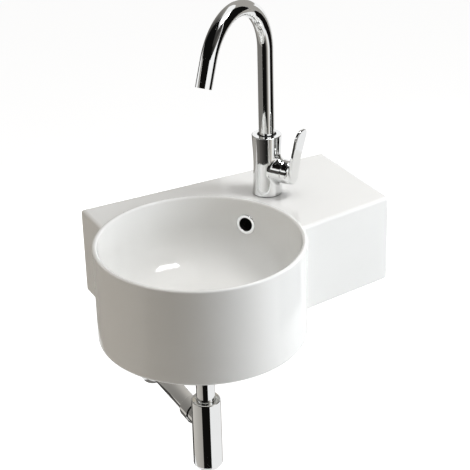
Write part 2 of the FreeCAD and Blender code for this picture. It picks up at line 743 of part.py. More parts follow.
def make_trap():
    """Make the bottle trap: gland nut, seal, bottle with its outlet branch, and cleaning plug."""
    rim = "-trap_top - cap_height"
    spigot_low = rim + " - cap_spigot"
    seal_low = spigot_low + " - trap_seal_thick"
    floor = "-trap_top - trap_height"
    inside = "trap_radius - trap_wall"
    hole = "pipe_radius + pipe_gap"
    gland = turned("trap_cap_nut", BOWL, [
        (hole, spigot_low), (inside + " - running_gap", spigot_low), (inside + " - running_gap", rim),
        ("trap_radius", rim), ("trap_radius", "-trap_top", "cap_round"),
        (hole + " + cap_mouth_chamfer", "-trap_top"), (hole, "-trap_top - cap_mouth_chamfer")])
    seal = ring("trap_seal", BOWL, hole, inside + " - running_gap", seal_low, spigot_low)
    body = turned("trap_body", BOWL, [("0", floor), ("trap_radius", floor, "trap_foot_round"),
                                      ("trap_radius", rim), ("0", rim)])
    branch = sketch_on(body, "XZ_Plane")
    draw_circle(branch, "branch_radius", "0", "-outlet_drop")
    extrude(body, branch, "branch_length", reverse=True)
    shelf = seal_low + " - trap_shoulder"
    revolve(body, [("0", rim + " + overrun"), ("0", floor + " - overrun"),
                   ("cleanout_radius + running_gap", floor + " - overrun"),
                   ("cleanout_radius + running_gap", floor + " + trap_floor"),
                   (inside, floor + " + trap_floor"), (inside, shelf), (hole + " + pipe_wall", shelf),
                   (hole + " + pipe_wall", seal_low), (inside, seal_low),
                   (inside, rim + " + overrun")], "Groove")
    bore = sketch_on(body, "XZ_Plane")
    draw_circle(bore, hole, "0", "-outlet_drop")
    extrude(body, bore, "branch_length + overrun", "Pocket")
    ring_low = floor + " - cleanout_seal_thick"
    cover_low = ring_low + " - cleanout_flange_thick"
    gasket = ring("cleanout_seal", BOWL, "cleanout_radius + running_gap", "cleanout_flange", ring_low, floor)
    plug = turned("cleanout_plug", BOWL, [
        ("0", cover_low), ("cleanout_flange", cover_low, "cleanout_seal_thick"),
        ("cleanout_flange", ring_low), ("cleanout_radius", ring_low),
        ("cleanout_radius", floor + " + cleanout_depth"),
        ("0", floor + " + cleanout_depth")])
    slot = sketch_on(plug, "XY_Plane", cover_low + " + cleanout_slot_depth")
    half = "cleanout_slot_width / 2"
    draw_outline(slot, [("-cleanout_radius", "-" + half), ("cleanout_radius", "-" + half),
                        ("cleanout_radius", half), ("-cleanout_radius", half)])
    extrude(plug, slot, "overrun", "Pocket")
    return [gland, seal, body, gasket, plug]


def make_outlet():
    """Make the gland on the trap's branch, the pipe into the wall and its rosette."""
    hole = "pipe_radius + pipe_gap"
    seal_end = "branch_length + outlet_seal_thick"
    nut_end = seal_end + " + outlet_nut_end"
    gland = turned("outlet_nut", OUTLET, [
        ("branch_radius + running_gap", "branch_length - branch_thread"),
        ("outlet_nut_radius", "branch_length - branch_thread"),
        ("outlet_nut_radius", nut_end, "outlet_nut_round"), (hole, nut_end), (hole, seal_end),
        ("branch_radius + running_gap", seal_end)])
    seal = ring("outlet_seal", OUTLET, hole, "branch_radius", "branch_length", seal_end)
    pipe = ring("wall_pipe", OUTLET, "pipe_radius - pipe_wall", "pipe_radius",
                "branch_length - pipe_insert", "bowl_reach + wall_entry")
    rim = "bowl_reach - rosette_rim"
    crown = "bowl_reach - rosette_height"
    slant = "(rosette_radius + pipe_radius) / 2"
    lining = "rosette_radius - rosette_sheet"
    rosette = turned("wall_rosette", OUTLET, [
        (hole, crown), (slant, crown, "rosette_round"), ("rosette_radius", rim),
        ("rosette_radius", "bowl_reach"), (lining, "bowl_reach"), (lining, rim + " + rosette_sheet"),
        (slant + " - rosette_sheet / 2", crown + " + rosette_sheet", "rosette_round - rosette_sheet"),
        (hole, crown + " + rosette_sheet")])
    return [gland, seal, pipe, rosette]


def make_tap_body():
    """Turn the waisted tap body, blend its side boss in, and bore it for what it holds."""
    body = turned("tap_body", TAP, [
        ("0", "-shank_length"), ("shank_radius", "-shank_length"), ("shank_radius", "base_gasket_thick"),
        ("tap_base_radius", "base_gasket_thick"), ("tap_waist_radius", "boss_height", "tap_waist_round"),
        ("tap_top_radius", "tap_height", "tap_top_round"), ("0", "tap_height")])
    sketch = sketch_on(body, "XZ_Plane")
    draw_circle(sketch, "seat_radius", "0", "boss_height")
    extrude(body, sketch, "seat_reach", reverse=True)
    round_edges(body, "boss_blend", lambda edge: edge.BoundBox.ZLength > value("seat_radius")
                and 0 < edge.BoundBox.YMin and edge.BoundBox.YMax < value("seat_reach"))
    sketch = sketch_on(body, "XY_Plane", "tap_height")
    draw_circle(sketch, "spout_bore_radius")
    extrude(body, sketch, "spout_bore_depth", "Pocket")
    sketch = sketch_on(body, "XZ_Plane", "cartridge_back")
    draw_circle(sketch, "cartridge_radius", "0", "boss_height")
    extrude(body, sketch, "cartridge_back + seat_reach + overrun", "Pocket")
    sketch = sketch_on(body, "XY_Plane", "tap_height")
    draw_circle(sketch, "waterway_radius")
    extrude(body, sketch, "tap_height - boss_height", "Pocket")
    for radius, depth in (("port_radius", "port_depth"),
                          ("port_way_radius", "shank_length + boss_height - cartridge_radius / 2")):
        sketch = sketch_on(body, "XY_Plane", "-shank_length")
        for side in ("-", "+"):
            draw_circle(sketch, radius, side + "port_across", "port_along")
        extrude(body, sketch, depth, "Pocket", reverse=True)
    sketch = sketch_on(body, "XY_Plane", "-shank_length")
    draw_circle(sketch, "stud_radius", "0", "-stud_along")
    extrude(body, sketch, "shank_length + stud_grip", "Pocket", reverse=True)
    sketch = sketch_on(body, "XZ_Plane", "tap_base_radius + overrun")
    draw_circle(sketch, "retainer_radius", "0", RETAINER_LEVEL)
    extrude(body, sketch, "tap_base_radius + overrun - waterway_radius", "Pocket")
    return body


def make_clamp():
    """Make what holds the tap to the deck: base gasket, stud, horseshoe gasket and plate, and nut."""
    gasket = ring("tap_base_gasket", TAP, "shank_radius + running_gap", "base_gasket_radius",
                  "0", "base_gasket_thick")
    stud = new_body("tap_stud", TAP)
    sketch = sketch_on(stud, "XY_Plane", "stud_grip")
    draw_circle(sketch, "stud_radius", "0", "-stud_along")
    extrude(stud, sketch, "stud_grip + stud_length", reverse=True)
    made = [gasket, stud]
    low = "-deck_thickness"
    for label, thick in (("horseshoe_gasket", "clamp_gasket_thick"),
                         ("horseshoe_plate", "clamp_plate_thick")):
        plate = new_body(label, TAP)
        sketch = sketch_on(plate, "XY_Plane", low)
        draw_circle(sketch, "clamp_radius")
        draw_circle(sketch, "stud_radius + running_gap", "0", "-stud_along")
        extrude(plate, sketch, thick, reverse=True)
        sketch = sketch_on(plate, "XY_Plane", low)
        half = "clamp_slot / 2"
        root = "-stud_along + 2 * stud_radius"
        draw_outline(sketch, [("-" + half, root, "stud_radius"), (half, root, "stud_radius"),
                              (half, "clamp_radius + overrun"), ("-" + half, "clamp_radius + overrun")])
        extrude(plate, sketch, thick, "Pocket")
        made.append(plate)
        low = f"{low} - {thick}"
    hexagon = new_body("stud_nut", TAP)
    sketch = sketch_on(hexagon, "XY_Plane", low)
    draw_hexagon(sketch, "stud_nut_flats", "0", "-stud_along")
    draw_circle(sketch, "stud_radius + running_gap", "0", "-stud_along")
    extrude(hexagon, sketch, "stud_nut_thick", reverse=True)
    return made + [hexagon]


def make_spout_tube():
    """Bend the swan-neck tube: a riser, an arch and a short straight end."""
    body = new_body("spout_tube", TAP)
    path = sketch_on(body, "XZ_Plane")
    low = Vector(0, value(TUBE_LOW), 0)
    spring = Vector(0, value("spout_riser"), 0)
    centre = spring + Vector(value("spout_arch_radius"), 0, 0)
    bend = math.radians(value("spout_bend"))
    leave = centre + Vector(-math.cos(bend), math.sin(bend), 0) * value("spout_arch_radius")
    tip = leave + Vector(math.sin(bend), math.cos(bend), 0) * value("spout_end")
    riser = path.addGeometry(Part.LineSegment(low, spring))
    circle = Part.Circle(centre, Vector(0, 0, 1), value("spout_arch_radius"))
    arch = path.addGeometry(Part.ArcOfCircle(circle, math.pi - bend, math.pi))
    end = path.addGeometry(Part.LineSegment(leave, tip))
    fix_point(path, riser, 1, "0", TUBE_LOW)
    fix_point(path, riser, 2, "0", "spout_riser")
    path.addConstraint(Sketcher.Constraint("Tangent", riser, 2, arch, 2))
    path.addConstraint(Sketcher.Constraint("Tangent", end, 1, arch, 1))
    dimension(path, "Radius", (arch,), "spout_arch_radius")
    fix_point(path, end, 2, NOZZLE_ACROSS, NOZZLE_LEVEL)
    profile = sketch_on(body, "XY_Plane", TUBE_LOW)
    draw_circle(profile, "spout_radius")
    draw_circle(profile, "spout_radius - spout_wall")
    pipe = body.newObject("PartDesign::AdditivePipe", "spout_pipe")
    pipe.Profile = profile
    pipe.Spine = (path, ["Edge1", "Edge2", "Edge3"])
    return body


def make_spout_fittings():
    """Make the foot that turns in the body with its sealing rings, the two bushes and the retaining screw."""
    tube = "spout_radius"
    groove = "oring_groove_width"
    low = TUBE_LOW
    first = f"{low} + foot_land"
    second = f"{FOOT_TOP} - foot_land - {groove}"
    keep = f"{RETAINER_LEVEL} - retainer_groove_width / 2"
    corners = [(tube, low), ("foot_radius", low)]
    for start, width, depth in ((first, groove, "oring_groove_radius"),
                                (keep, "retainer_groove_width", "retainer_groove_radius"),
                                (second, groove, "oring_groove_radius")):
        corners += [("foot_radius", start), (depth, start), (depth, f"{start} + {width}"),
                    ("foot_radius", f"{start} + {width}")]
    corners += [("foot_radius", FOOT_TOP), (tube, FOOT_TOP)]
    foot = turned("spout_foot", TAP, corners)
    seals = []
    for start in (first, second):
        seal = doc.addObject("Part::Torus", "spout_oring")
        bind(seal, "Radius1", "oring_groove_radius + oring_thick")
        bind(seal, "Radius2", "oring_thick")
        place(seal, ((TAP_ACROSS, "-tap_reach", f"deck_height + {start} + {groove} / 2"), Rotation()))
        seals.append(seal)
    orings = doc.addObject("Part::Compound", "spout_orings")
    orings.Links = seals
    bushes = []
    for label, start in (("spout_bush_lower", SOCKET_FLOOR), ("spout_bush_upper", f"{FOOT_TOP} + slip_gap")):
        bushes.append(ring(label, TAP, tube + " + running_gap", "spout_bore_radius",
                           start, f"{start} + bush_thick"))
    across_back = TAP[1].multiply(Rotation(Vector(1, 0, 0), 90))
    tip = "retainer_groove_radius + slip_gap"
    shoulder = "spout_bore_radius + slip_gap"
    head = "tap_waist_radius - retainer_tip_radius"
    screw = turned("spout_retainer", seat((TAP_ACROSS, "-tap_reach", f"deck_height + {RETAINER_LEVEL}"),
                                          across_back), [
        ("0", tip), ("retainer_tip_radius", tip), ("retainer_tip_radius", shoulder),
        ("retainer_radius", shoulder), ("retainer_radius", head), ("0", head)])
    return [foot, orings, *bushes, screw]


def make_aerator():
    """Make the sleeve inside the spout's mouth and the flow straightener that it holds."""
    outer = "spout_radius - spout_wall - running_gap / 2"
    inner = "spout_radius - spout_wall - aerator_wall"
    mouth = "-aerator_recess"
    back = "-aerator_recess - aerator_length"
    sleeve = turned("aerator_sleeve", NOZZLE, [
        (inner, back), (outer, back), (outer, mouth), (inner + " - aerator_lip", mouth),
        (inner + " - aerator_lip", mouth + " - aerator_lip"), (inner, mouth + " - aerator_lip")])
    core = new_body("aerator_core", NOZZLE)
    sketch = sketch_on(core, "XY_Plane", mouth + " - aerator_lip")
    draw_circle(sketch, inner)
    extrude(core, sketch, "aerator_core_thick", reverse=True)
    return [sleeve, core]


def make_cartridge():
    """Make the cartridge, its domed cover, and the rotor and pin that carry the lever's stem."""
    rotor_bore = "rotor_radius + running_gap"
    housing = turned("cartridge_housing", LEVER, [
        ("0", "-cartridge_back"), ("cartridge_radius", "-cartridge_back"),
        ("cartridge_radius", "cartridge_front"), (rotor_bore, "cartridge_front"),
        (rotor_bore, "rotor_back"), ("0", "rotor_back")])
    rotor = turned("cartridge_rotor", LEVER, [
        ("0", "rotor_back + running_gap"), ("rotor_radius", "rotor_back + running_gap"),
        ("rotor_radius", "cartridge_front - running_gap"), ("0", "cartridge_front - running_gap")])
    sketch = sketch_on(rotor, "XY_Plane", "cartridge_front + overrun")
    long, wide = "rotor_slot_length / 2", "(stem_width / 2 + slip_gap)"
    draw_outline(sketch, [("-" + long, "-" + wide), (long, "-" + wide), (long, wide), ("-" + long, wide)])
    extrude(rotor, sketch, "cartridge_front + overrun - rotor_slot_back", "Pocket")
    sketch = sketch_on(rotor, "XZ_Plane", "-rotor_radius - overrun")
    draw_circle(sketch, "pivot_pin_radius", "0", "pivot_reach")
    extrude(rotor, sketch, "2 * rotor_radius + 2 * overrun", "Pocket", reverse=True)
    pin = new_body("stem_pin", LEVER)
    sketch = sketch_on(pin, "XZ_Plane")
    draw_circle(sketch, "pivot_pin_radius", "0", "pivot_reach")
    extrude(pin, sketch, "2 * rotor_radius - 4 * slip_gap", both_ways=True)
    blank = turned("cover_blank", LEVER, [
        ("cartridge_radius + running_gap", "seat_reach"), ("seat_radius", "seat_reach"),
        ("seat_radius", "pivot_reach + dome_radius"), ("dome_mouth", "pivot_reach + dome_radius"),
        ("dome_throat", "cartridge_front + dome_throat_thick"), ("dome_throat", "cartridge_front"),
        ("cartridge_radius + running_gap", "cartridge_front")])
    ball = doc.addObject("Part::Sphere", "cover_ball")
    bind(ball, "Radius", "dome_radius")
    pivot = LEVER_DIRECTION * value("pivot_reach")
    ball.Placement = Placement(blank.Placement.Base + pivot, Rotation())
    cover = doc.addObject("Part::Common", "cartridge_cover")
    cover.Base, cover.Tool = blank, ball
    return [housing, rotor, pin, cover]


def make_stem():
    """Make the square stem that rocks on the pin and carries the lever."""
    body = new_body("lever_stem", LEVER)
    sketch = sketch_on(body, "XY_Plane", "pivot_reach - stem_back")
    half = "stem_width / 2"
    draw_outline(sketch, [("-" + half, "-" + half), (half, "-" + half), (half, half), ("-" + half, half)])
    extrude(body, sketch, "stem_back + stem_front")
    sketch = sketch_on(body, "XZ_Plane")
    draw_circle(sketch, "pivot_pin_radius + running_gap", "0", "pivot_reach")
    extrude(body, sketch, "2 * stem_width", "Pocket", both_ways=True)
    return body


def make_lever():
    """Forge the lever: a paddle that bends outwards to its tip, and a hub hollowed to ride over the dome."""
    body = new_body("lever", LEVER)
    foot, tip = "lever_foot_thick / 2", "lever_tip_thick / 2"
    bend = "(lever_foot_thick + lever_tip_thick) / 4"
    side = sketch_on(body, "XZ_Plane")
    draw_outline(side, [
        ("-lever_drop", "lever_foot_reach - " + foot),
        ("lever_bend", "lever_bend_reach - " + bend, "lever_bend_round"),
        ("lever_rise", "lever_tip_reach - " + tip), ("lever_rise", "lever_tip_reach + " + tip),
        ("lever_bend", "lever_bend_reach + " + bend, "lever_bend_round - 2 * lever_tip_thick"),
        ("-lever_drop", "lever_foot_reach + " + foot)])
    extrude(body, side, "lever_tip_width", both_ways=True)
    face = sketch_on(body, "XY_Plane")
    low, high, wide = "-lever_drop - overrun", "lever_rise + overrun", "lever_tip_width"
    draw_outline(face, [(low, "-" + wide), (high, "-" + wide), (high, wide), (low, wide)])
    draw_outline(face, [("-lever_drop", "-lever_foot_width / 2", "lever_foot_round"),
                        ("lever_rise", "-lever_tip_width / 2", "lever_tip_round"),
                        ("lever_rise", "lever_tip_width / 2", "lever_tip_round"),
                        ("-lever_drop", "lever_foot_width / 2", "lever_foot_round")])
    extrude(body, face, "lever_tip_reach + overrun", "Pocket", reverse=True)
    shortest = value("lever_foot_thick + lever_edge_round")
    round_edges(body, "lever_edge_round", lambda edge: edge.Length > shortest)
    revolve(body, [("0", "hub_start"), ("hub_radius", "hub_start"), ("hub_radius", "hub_end", "hub_round"),
                   ("0", "hub_end")])
    cut_ball(body, "dome_radius + lever_gap", "pivot_reach")
    socket = sketch_on(body, "XY_Plane", "pivot_reach")
    half = "(stem_width / 2 + socket_gap)"
    draw_outline(socket, [("-" + half, "-" + half), (half, "-" + half), (half, half), ("-" + half, half)])
    extrude(body, socket, "stem_front + socket_gap", "Pocket", reverse=True)
    hole = sketch_on(body, "YZ_Plane", "-lever_drop - overrun")
    draw_circle(hole, "grub_radius", "0", "grub_reach")
    extrude(body, hole, "lever_drop + overrun", "Pocket", reverse=True)
    grub = new_body("lever_grub_screw", LEVER)
    sketch = sketch_on(grub, "YZ_Plane", "-stem_width / 2 - socket_gap")
    draw_circle(sketch, "grub_radius", "0", "grub_reach")
    extrude(grub, sketch, "grub_length", reverse=True)
    return [body, grub]


pieces = [finish_basin(make_basin()), make_overflow_ring(), make_waste_body(), *make_waste_fittings()]
pieces += [*make_plug(), *make_tail(), *make_trap(), *make_outlet(), make_tap_body(), *make_clamp()]
pieces += [make_spout_tube(), *make_spout_fittings(), *make_aerator(), *make_cartridge()]
pieces += [make_stem(), *make_lever()]
doc.recompute()

failed = [item.Label for item in doc.Objects if {"Invalid", "Error"} & set(item.State)]
failed += [piece.Label for piece in pieces if piece.Shape.isNull() or not piece.Shape.isValid()]
if failed:
    raise RuntimeError("these objects did not build: " + ", ".join(failed))
os.makedirs("parts", exist_ok=True)
for piece in pieces:
    piece.Shape.exportStep(f"parts/{piece.Label}.step")
    print(piece.Label, len(piece.Shape.Solids), round(piece.Shape.Volume))
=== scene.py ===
"""Looks of a wall-hung hand basin: glazed china, a chrome swan-neck mixer and a chrome bottle trap."""

import math

import bpy
from bpy.props import FloatProperty, FloatVectorProperty, IntProperty, PointerProperty
from mathutils import Matrix, Vector


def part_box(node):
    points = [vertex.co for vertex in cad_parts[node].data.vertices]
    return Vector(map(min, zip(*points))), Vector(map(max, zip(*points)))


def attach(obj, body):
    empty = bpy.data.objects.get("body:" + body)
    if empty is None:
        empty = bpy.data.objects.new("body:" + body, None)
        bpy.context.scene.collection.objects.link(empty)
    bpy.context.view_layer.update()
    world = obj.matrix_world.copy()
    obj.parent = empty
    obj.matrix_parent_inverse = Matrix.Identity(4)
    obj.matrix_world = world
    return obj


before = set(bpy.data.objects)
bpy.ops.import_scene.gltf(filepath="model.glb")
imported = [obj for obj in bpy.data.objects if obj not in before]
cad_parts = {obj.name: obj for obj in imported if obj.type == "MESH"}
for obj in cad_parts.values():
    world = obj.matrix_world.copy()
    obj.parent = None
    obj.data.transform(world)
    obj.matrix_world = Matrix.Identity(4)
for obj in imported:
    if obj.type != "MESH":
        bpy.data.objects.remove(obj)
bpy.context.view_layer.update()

bl_info = {
    "name": "Hand Basin Looks",
    "version": (1, 0, 0),
    "blender": (4, 5, 0),
    "location": "View3D > Sidebar > Hand Basin",
    "description": "Finishes, threads, flow straightener and studio for a wall-hung hand basin",
    "category": "Object",
}

MM = 0.001

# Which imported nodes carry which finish
CHINA_NODES = ("basin",)
CHROME_NODES = (
    "overflow_ring", "plug_cap", "waste_body", "tail_pipe", "tail_union_nut", "trap_cap_nut",
    "trap_body", "cleanout_plug", "outlet_nut", "wall_pipe", "wall_rosette", "tap_body",
    "spout_tube", "cartridge_cover", "lever",
)
BRASS_NODES = ("waste_backnut", "spout_foot", "plug_stem", "lever_stem")
STEEL_NODES = (
    "tap_stud", "horseshoe_plate", "stud_nut", "spout_retainer", "stem_pin", "lever_grub_screw",
)
RUBBER_NODES = (
    "flange_gasket", "boss_washer", "plug_seal", "tail_washer", "trap_seal", "cleanout_seal",
    "outlet_seal", "tap_base_gasket", "horseshoe_gasket", "spout_orings",
)
NYLON_NODES = (
    "slip_washer", "click_guide", "aerator_sleeve", "aerator_core", "cartridge_housing",
    "cartridge_rotor",
)
ACETAL_NODES = ("spout_bush_lower", "spout_bush_upper")

# The way the spout's mouth looks at rest: its turn about the tap and its bend from upright
SPOUT_TURN = math.radians(211.7)
SPOUT_BEND = math.radians(157)

# The painted shade in the overflow passage: its centre behind the trim ring, its reach and its faded edge
PASSAGE_DEPTH = 25 * MM
PASSAGE_REACH = 24 * MM
PASSAGE_FADE = 1.5 * MM

# The bare clay: how near the wall it starts and ends, the same for the heights of the foot, and how
# straight down the foot faces
WALL_SKIN = (-0.9 * MM, -0.3 * MM)
FOOT_HEIGHTS = (-99 * MM, -97 * MM)
FOOT_FACING = (-0.99, -0.95)

# The roughness of each finish where it is smoothest and where it is dullest
GLAZE_ROUGHNESS = (0.05, 0.085)
CLAY_ROUGHNESS = 0.7
CHROME_ROUGHNESS = (0.025, 0.06)
BRASS_ROUGHNESS = (0.22, 0.36)
ZINC_ROUGHNESS = (0.28, 0.45)
RUBBER_ROUGHNESS = (0.55, 0.75)
PLASTIC_ROUGHNESS = (0.36, 0.5)

# The height of each finish's relief
CHINA_RELIEF = 0.025 * MM
CHROME_RELIEF = 0.04 * MM
BRASS_RELIEF = 0.015 * MM
ZINC_RELIEF = 0.02 * MM
RUBBER_RELIEF = 0.05 * MM
PLASTIC_RELIEF = 0.02 * MM

# How strongly the glaze and the plastics bend light
GLAZE_IOR = 1.52
PLASTIC_IOR = 1.53

# The spacing of the turning rings on brass, and the length of one wave of a Wave Texture of scale 1
RING_SPACING = 0.8 * MM
WAVE_LENGTH = 0.314

# The steps in one turn of a thread, the sides of its ridge and the share of the ridge's depth sunk in
THREAD_STEPS = 48
RIDGE_SIDES = 6
RIDGE_SUNK_SHARE = 1 / 3

# The camera: where it stands, its turn, its downward tilt, its roll, its lens and sensor in millimetres
# for a square picture, and how far it sees
CAMERA_PLACE = Vector((-0.98492, -2.053, 1.08124))
CAMERA_YAW = math.radians(26.91)
CAMERA_PITCH = math.radians(26.47)
CAMERA_ROLL = math.radians(-1.56)
CAMERA_LENS = 110.61
CAMERA_SENSOR = 36
CAMERA_REACH = 100

# Half the width of the square floor
FLOOR_REACH = 9

# The softboxes: where each hangs, what it looks at, the way its width runs, and its width and height
SOFTBOXES = {
    "window": ((0.748, -0.607, 1.955), (-0.11, -0.08, -0.05), (-0.918, -0.154, 0.367), 0.83, 0.46),
    "side": ((1.89, -1.7, 0.4), (-0.11, -0.2, -0.02), (0.6, 0.8, 0), 1.1, 1.5),
    "top": ((-0.25, -0.1, 2.1), (-0.1, -0.15, 0), (1, 0, 0), 1.5, 1.5),
    "left": ((-2.25, 0.1, 0.2), (-0.1, -0.15, 0), (0, 1, 0), 1.2, 1.2),
    "back": ((0.25, 2.2, -0.35), (0, 0, -0.05), (-1, 0, 0), 0.8, 0.6),
}

# The middle of the ring of cards, the strips in each card and how brightly the cards shine
STUDIO_MIDDLE = Vector((-0.06, -0.17, 0))
CARD_STEPS = 12
BLACK, SLATE, GREY, PALE, LIGHT, WHITE = 0.005, 0.045, 0.185, 0.37, 0.6, 0.9

# The cards round the basin: the turns where each starts and ends, its brightness at both, and its
# profile of distances and heights
ROOM_CARDS = {
    "trap_front": (-33, 23, BLACK, BLACK, ((0.62, -0.79), (0.62, -0.45))),
    "trap_left": (-122, -33, LIGHT, PALE, ((0.64, -0.79), (0.64, -0.45))),
    "trap_rear_left": (-178, -118, SLATE, SLATE, ((0.42, -0.79), (0.42, -0.36))),
    "trap_rear_right": (145, 178, PALE, PALE, ((0.42, -0.79), (0.42, -0.36))),
    "pipe_rear": (-186, -95, LIGHT, GREY, ((0.2, -0.33), (0.2, -0.105))),
    "pipe_left": (-180, -50, PALE, PALE, ((0.66, -0.45), (0.66, -0.12))),
    "tap_front": (-50, 10, BLACK, BLACK, ((0.62, -0.45), (0.62, 0.3))),
    "tap_edge": (10, 54, BLACK, WHITE, ((0.62, -0.45), (0.62, 0.3))),
    "tap_left": (-180, -50, GREY, GREY, ((0.66, -0.12), (0.66, 0.2))),
    "tap_right": (75, 120, BLACK, BLACK, ((0.62, -0.35), (0.62, 1.03))),
    "tap_rear_right": (120, 134, PALE, PALE, ((0.66, -0.04), (0.66, 0.44))),
    "mouth_left": (-126, -50, PALE, PALE, ((0.64, 0.42), (0.64, 0.5))),
    "arch_rear_left": (-180, -124, PALE, SLATE, ((0.66, 0.2), (0.66, 1.2), (0.4, 1.7))),
    "arch_left": (-124, -36, BLACK, BLACK, ((0.62, 0.5), (0.62, 1.0), (0.35, 1.6))),
    "arch_middle": (-36, 16, BLACK, BLACK, ((0.62, 0.36), (0.62, 1.0), (0.35, 1.6))),
    "arch_low": (16, 72, BLACK, GREY, ((0.63, 0.52), (0.63, 0.8))),
    "arch_front": (16, 72, SLATE, SLATE, ((0.63, 0.8), (0.62, 1.0), (0.5, 1.25))),
    "arch_high": (16, 40, SLATE, GREY, ((0.5, 1.25), (0.35, 1.6))),
    "arch_top": (-180, 30, BLACK, BLACK, ((0.35, 1.6), (0.02, 1.9))),
    "arch_rear": (120, 180, PALE, PALE, ((0.66, 0.44), (0.66, 1.0))),
}

# The small flags that keep white china and floor out of a piece's reflections: the piece, and then as above
FLAGS = {
    "tap_flag": ("tap_body", -84, 2, GREY, BLACK, ((0.1, 0.078), (0.1, 0.125))),
    "rosette_flag": ("wall_rosette", -180, 180, GREY, GREY, ((0.005, -0.4), (0.06, -0.4))),
}


def linear(code):
    """Turn an sRGB hex colour into linear red, green and blue."""
    parts = [int(code[at:at + 2], 16) / 255 for at in (1, 3, 5)]
    return tuple(p / 12.92 if p <= 0.04045 else ((p + 0.055) / 1.055) ** 2.4 for p in parts)


def colour(name, code, description):
    """Declare a colour that a user can change."""
    return FloatVectorProperty(name=name, description=description, default=linear(code),
                               subtype="COLOR", size=3, min=0, max=1)


def length(name, metres, description):
    """Declare a length that a user can change."""
    return FloatProperty(name=name, description=description, default=metres, min=0,
                         precision=5, unit="LENGTH")


class FinishSettings(bpy.types.PropertyGroup):
    """Colours of the basin's finishes."""

    china: colour("China", "#F4F4F2", "White of the poured glaze")
    bisque: colour("Bisque", "#DDD6C9", "Unglazed fired clay on the wall face and the foot")
    # The passage colour is painted shade: near-black for the shade deep in the overflow passage, over its
    # raw clay
    passage: colour("Passage", "#2A2724", "Raw dark clay inside the overflow passage")
    chrome: colour("Chrome", "#F4F5F5", "Reflection of the polished chrome plate")
    brass: colour("Brass", "#C8A75E", "Bare machined brass")
    zinc: colour("Zinc", "#B4B8BC", "Zinc plate on the steel fixings")
    rubber: colour("Rubber", "#1C1C1E", "Black moulded rubber")
    nylon: colour("Nylon", "#DFDDD4", "Natural moulded nylon")
    acetal: colour("Acetal", "#232324", "Black moulded acetal")


class ThreadSettings(bpy.types.PropertyGroup):
    """Screw threads on the waste and on the clamping stud."""

    waste_radius: length("Waste radius", 20.9 * MM, "Radius of the waste's threaded tube")
    waste_pitch: length("Waste pitch", 2.3 * MM, "Rise of the waste's thread in one turn")
    waste_depth: length("Waste depth", 0.5 * MM, "How far the waste's thread stands out")
    stud_pitch: length("Stud pitch", 1.25 * MM, "Rise of the stud's thread in one turn")
    stud_depth: length("Stud depth", 0.3 * MM, "How far the stud's thread stands out")


class AeratorSettings(bpy.types.PropertyGroup):
    """Honeycomb in the spout's mouth."""

    spacing: length("Spacing", 1.7 * MM, "Distance between the centres of two cells")
    wall: length("Wall", 0.25 * MM, "Thickness of a cell's wall")
    depth: length("Depth", 0.8 * MM, "Depth of the cells")
    radius: length("Radius", 8.2 * MM, "Reach of the outermost cell centres")
    rows: IntProperty(name="Rows", description="Rows of cells laid out before trimming",
                      default=13, min=3, max=41)


class StudioSettings(bpy.types.PropertyGroup):
    """Light round the basin."""

    window_power: FloatProperty(name="Window", description="Power of the high softbox",
                                default=19, min=0, unit="POWER")
    side_tint: colour("Side tint", "#F6FAFF", "Tint of the softbox at the right")
    side_power: FloatProperty(name="Side", description="Power of the softbox at the right",
                              default=49, min=0, unit="POWER")
    top_power: FloatProperty(name="Top", description="Power of the softbox overhead",
                             default=12.5, min=0, unit="POWER")
    left_power: FloatProperty(name="Left", description="Power of the softbox at the left",
                              default=7.5, min=0, unit="POWER")
    left_tint: colour("Left tint", "#FFF3E2", "Tint of the softbox at the left")
    back_power: FloatProperty(name="Back", description="Power of the low softbox behind the wall face",
                              default=30, min=0, unit="POWER")
    ambient: FloatProperty(name="Ambient", description="Strength of the room's own light",
                           default=0.175, min=0)
    ambient_tint: colour("Ambient tint", "#FFF9F1", "Tint of the room's own light")
    card_tint: colour("Card tint", "#FFFAF2", "Tint of the cards that the chrome mirrors")
    floor_drop: length("Floor drop", 0.8, "Depth of the floor below the wall fixings")
    floor_paint: colour("Floor paint", "#D2D1CE", "Floor's colour in the light that it throws back")
    floor_veil: colour("Floor veil", "#949494", "Floor's share of the light where it is seen")
    floor_white: FloatProperty(name="Floor white", description="Floor's own glow where it is seen",
                               default=0.9, min=0)


def add(tree, kind, inputs=(), **settings):
    """Add a node with its settings, and give each named input a value or a link."""
    node = tree.nodes.new(kind)
    for name, setting in settings.items():
        setattr(node, name, setting)
    for name, value in dict(inputs).items():
        if isinstance(value, bpy.types.NodeSocket):
            tree.links.new(value, node.inputs[name])
        else:
            node.inputs[name].default_value = value
    return node


def new_finish(name):
    """Start a material: its tree, its object coordinates and its shader."""
    material = bpy.data.materials.new(name)
    material.use_nodes = True
    tree = material.node_tree
    tree.nodes.clear()
    coords = add(tree, "ShaderNodeTexCoord").outputs["Object"]
    shader = add(tree, "ShaderNodeBsdfPrincipled")
    add(tree, "ShaderNodeOutputMaterial", {"Surface": shader.outputs["BSDF"]})
    return material, tree, coords, shader


def speckle(tree, coords, size, detail=2):
    """Give a noise whose patches are about one size across, in metres."""
    noise = add(tree, "ShaderNodeTexNoise", {"Vector": coords, "Scale": 1 / size, "Detail": detail})
    return noise.outputs["Fac"]


def between(tree, value, low, high, start=0.3, end=0.7):
    """Spread a value between two limits."""
    return add(tree, "ShaderNodeMapRange", {"Value": value, "From Min": start, "From Max": end,
                                            "To Min": low, "To Max": high}).outputs["Result"]


def shaded(tree, factor, tone, share):
    """Vary a colour between itself and a darker share of it."""
    dark = tuple(channel * share for channel in tone)
    return add(tree, "ShaderNodeMix", {0: factor, 6: (*dark, 1), 7: (*tone, 1)}, data_type="RGBA").outputs[2]


def raised(tree, shader, height, distance):
    """Give a shader small relief."""
    bump = add(tree, "ShaderNodeBump", {"Height": height, "Distance": distance, "Strength": 1})
    tree.links.new(bump.outputs["Normal"], shader.inputs["Normal"])


